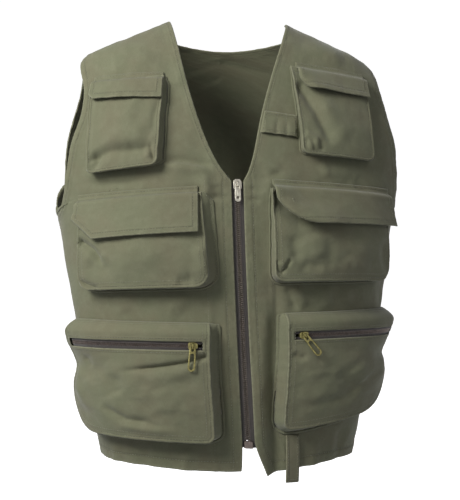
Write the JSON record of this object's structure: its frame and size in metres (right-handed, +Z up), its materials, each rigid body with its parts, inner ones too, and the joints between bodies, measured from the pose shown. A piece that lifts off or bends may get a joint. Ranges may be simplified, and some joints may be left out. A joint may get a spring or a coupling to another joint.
{
  "type": "utility work vest",
  "caption": "Sleeveless V-neck work vest in olive cotton twill with a metal front zip, flap pockets and zipped cargo pockets, in its worn shape.",
  "frame": {"origin": "midway between the neck ends of the two shoulder seams, where the vest hangs on the wearer", "axes": "+Z up, the wearer faces -Y, +X towards the wearer's left"},
  "size_m": [0.4596, 0.2639, 0.595],
  "materials": {
    "twill": "matt olive cotton twill",
    "webbing": "matt woven tape",
    "zip_tape": "matt dark brown woven tape",
    "zip_teeth": "antique darkened brass",
    "nickel": "worn nickel plate",
    "brass": "dull brass"
  },
  "bodies": {
    "vest": {"front_right": "twill", "front_left": "twill", "back": "twill", "zip_tape_right": "zip_tape", "zip_tape_left": "zip_tape", "zip_chain": "zip_teeth", "zip_end": "zip_teeth", "zip_slider": "nickel", "chest_pocket_right": "twill", "chest_flap_right": "twill", "chest_pocket_left": "twill", "chest_flap_left": "twill", "waist_pocket_right": "twill", "waist_flap_right": "twill", "waist_pocket_left": "twill", "waist_flap_left": "twill", "cargo_right_pocket": "twill", "cargo_right_top": "twill", "cargo_right_tape_upper": "zip_tape", "cargo_right_tape_lower": "zip_tape", "cargo_right_chain": "zip_teeth", "cargo_right_slider": "brass", "cargo_left_pocket": "twill", "cargo_left_top": "twill", "cargo_left_tape_upper": "zip_tape", "cargo_left_tape_lower": "zip_tape", "cargo_left_chain": "zip_teeth", "cargo_left_slider": "brass", "chest_tab": "twill", "hem_strap": "webbing"},
    "front_pull": {"zip_pull": "nickel"},
    "cargo_pull_right": {"cargo_right_pull": "brass"},
    "cargo_pull_left": {"cargo_left_pull": "brass"}
  },
  "joints": [
    {"name": "front_pull_swing", "type": "hinge", "parent": "vest", "child": "front_pull", "pos_m": [0.00002, -0.12062, -0.22956], "axis": [-1, 0.0002, 0], "range_deg": [0, 150]},
    {"name": "cargo_pull_right_swing", "type": "hinge", "parent": "vest", "child": "cargo_pull_right", "pos_m": [-0.05734, -0.14398, -0.42871], "axis": [-0.9919, 0.1103, 0.0637], "range_deg": [0, 120]},
    {"name": "cargo_pull_left_swing", "type": "hinge", "parent": "vest", "child": "cargo_pull_left", "pos_m": [0.08048, -0.14074, -0.41687], "axis": [-0.7791, -0.1733, -0.6024], "range_deg": [0, 120]}
  ]
}
